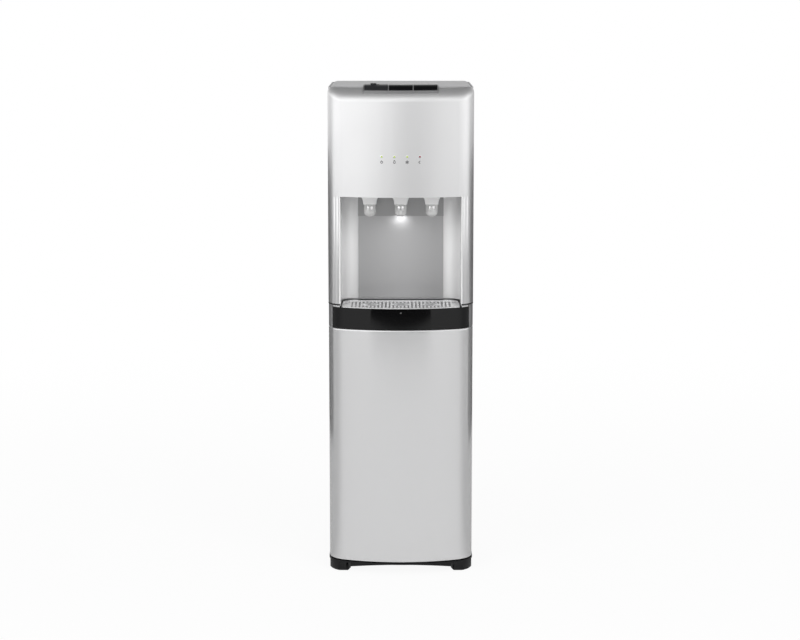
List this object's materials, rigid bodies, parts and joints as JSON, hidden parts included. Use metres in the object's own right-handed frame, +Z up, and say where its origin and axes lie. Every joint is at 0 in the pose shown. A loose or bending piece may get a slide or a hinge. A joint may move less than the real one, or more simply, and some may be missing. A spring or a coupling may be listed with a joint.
{
  "type": "bottom load water cooler",
  "caption": "Free-standing bottom load water cooler with a bottle cabinet behind a hinged door, a lit dispensing alcove with taps, a drip tray and top push buttons.",
  "frame": {"origin": "on the floor under the middle of the plan, between the bowed front and the condenser", "axes": "+Z up, the front with the taps faces -Y, +X to the right of someone facing it"},
  "size_m": [0.31, 0.36, 1.0456],
  "materials": {
    "silver_moulding": "satin metallic silver moulding",
    "silver_door": "satin silver door skin",
    "door_lining": "light grey inner door skin",
    "cover_silver": "fine-textured silver grey cover",
    "panel_grey": "satin grey splash panel",
    "side_steel": "powder coated silver grey sheet",
    "rear_steel": "black powder coated sheet",
    "gloss_black": "high gloss black",
    "button_black": "satin black",
    "button_grey": "satin charcoal",
    "base_black": "fine grained black",
    "fitting_black": "moulded black",
    "rocker_black": "semi-gloss black",
    "rocker_red": "semi-gloss red",
    "grille_silver": "bright silver",
    "spout_clear": "smoky clear plastic",
    "lens_green": "lit green lens",
    "lens_red": "lit red lens",
    "lens_white": "lit frosted lens",
    "rubber_black": "matte",
    "silicone": "milky silicone",
    "white_plastic": "natural white moulding",
    "zinc_steel": "zinc plated",
    "spring_steel": "bright wire",
    "magnet": "dark sintered",
    "stainless": "drawn stainless",
    "heater": "mill finish",
    "foam_white": "expanded foam",
    "compressor_black": "gloss black enamel",
    "pump_grey": "moulded grey",
    "board_green": "solder mask"
  },
  "bodies": {
    "cabinet": {"front_fascia": "silver_moulding", "alcove_liner": "silver_moulding", "tray_cradle": "silver_moulding", "button_housing": "silver_moulding", "tap_shrouds": "silver_moulding", "top_cover": "cover_silver", "back_panel": "panel_grey", "nozzle_panel": "panel_grey", "left_side_panel": "side_steel", "right_side_panel": "side_steel", "lower_rear_panel": "rear_steel", "compressor_cover": "rear_steel", "upper_rear_panel": "rear_steel", "base_tray": "base_black", "switch_plate": "fitting_black", "mains_inlet": "fitting_black", "relay_cover": "fitting_black", "hot_tap_spout": "spout_clear", "room_tap_spout": "spout_clear", "cold_tap_spout": "spout_clear", "green_lamp_lenses": "lens_green", "red_lamp_lens": "lens_red", "night_light_lens": "lens_white", "foot_pads": "rubber_black", "compressor_grommets": "rubber_black", "water_hoses": "silicone", "bottle_probe": "white_plastic", "probe_holder": "white_plastic", "tap_valves": "white_plastic", "compressor_shelf": "zinc_steel", "tank_shelf": "zinc_steel", "hinge_brackets": "zinc_steel", "rear_screws": "zinc_steel", "hot_button_spring": "spring_steel", "room_button_spring": "spring_steel", "cold_button_spring": "spring_steel", "door_magnets": "magnet", "hot_tank": "stainless", "cold_tank": "stainless", "heater_band": "heater", "cold_tank_foam": "foam_white", "compressor": "compressor_black", "condenser_coil": "compressor_black", "condenser_wires": "compressor_black", "water_pump": "pump_grey", "indicator_board": "board_green", "button_switches": "board_green", "power_board": "board_green"},
    "door": {"door_outer": "silver_door", "door_liner": "door_lining"},
    "drip_tray_body": {"drip_tray": "gloss_black"},
    "drip_grille_body": {"drip_grille": "grille_silver"},
    "hot_button_body": {"hot_button": "button_grey"},
    "room_button_body": {"room_button": "button_black"},
    "cold_button_body": {"cold_button": "button_black"},
    "child_lock": {"child_lock_slider": "button_grey"},
    "heat_switch": {"heat_rocker": "rocker_red"},
    "cool_switch": {"cool_rocker": "rocker_black"},
    "light_switch": {"light_rocker": "rocker_black"},
    "drain_plug": {"drain_cap": "fitting_black"}
  },
  "joints": [
    {"name": "door_hinge", "type": "hinge", "parent": "cabinet", "child": "door", "pos_m": [-0.1445, -0.112, 0.3], "axis": [0, 0, 1], "range_deg": [-105, 0]},
    {"name": "tray_slide", "type": "slide", "parent": "cabinet", "child": "drip_tray_body", "axis": [0, -1, 0], "range_m": [0, 0.16]},
    {"name": "grille_lift", "type": "slide", "parent": "drip_tray_body", "child": "drip_grille_body", "axis": [0, 0, 1], "range_m": [0, 0.06]},
    {"name": "hot_press", "type": "slide", "parent": "cabinet", "child": "hot_button_body", "axis": [0, 0, -1], "range_m": [0, 0.004], "stiffness_N_per_m": 700, "springref_m": -0.002, "deforming": ["hot_button_spring"]},
    {"name": "room_press", "type": "slide", "parent": "cabinet", "child": "room_button_body", "axis": [0, 0, -1], "range_m": [0, 0.004], "stiffness_N_per_m": 700, "springref_m": -0.002, "deforming": ["room_button_spring"]},
    {"name": "cold_press", "type": "slide", "parent": "cabinet", "child": "cold_button_body", "axis": [0, 0, -1], "range_m": [0, 0.004], "stiffness_N_per_m": 700, "springref_m": -0.002, "deforming": ["cold_button_spring"]},
    {"name": "child_lock_slide", "type": "slide", "parent": "hot_button_body", "child": "child_lock", "axis": [1, 0, 0], "range_m": [0, 0.006]},
    {"name": "heat_toggle", "type": "hinge", "parent": "cabinet", "child": "heat_switch", "pos_m": [0.067, 0.161, 0.925], "axis": [1, 0, 0], "range_deg": [0, 16]},
    {"name": "cool_toggle", "type": "hinge", "parent": "cabinet", "child": "cool_switch", "pos_m": [0.092, 0.161, 0.925], "axis": [1, 0, 0], "range_deg": [0, 16]},
    {"name": "light_toggle", "type": "hinge", "parent": "cabinet", "child": "light_switch", "pos_m": [0.117, 0.161, 0.925], "axis": [1, 0, 0], "range_deg": [0, 16]},
    {"name": "drain_pull", "type": "slide", "parent": "cabinet", "child": "drain_plug", "axis": [0, 1, 0], "range_m": [0, 0.025]}
  ]
}
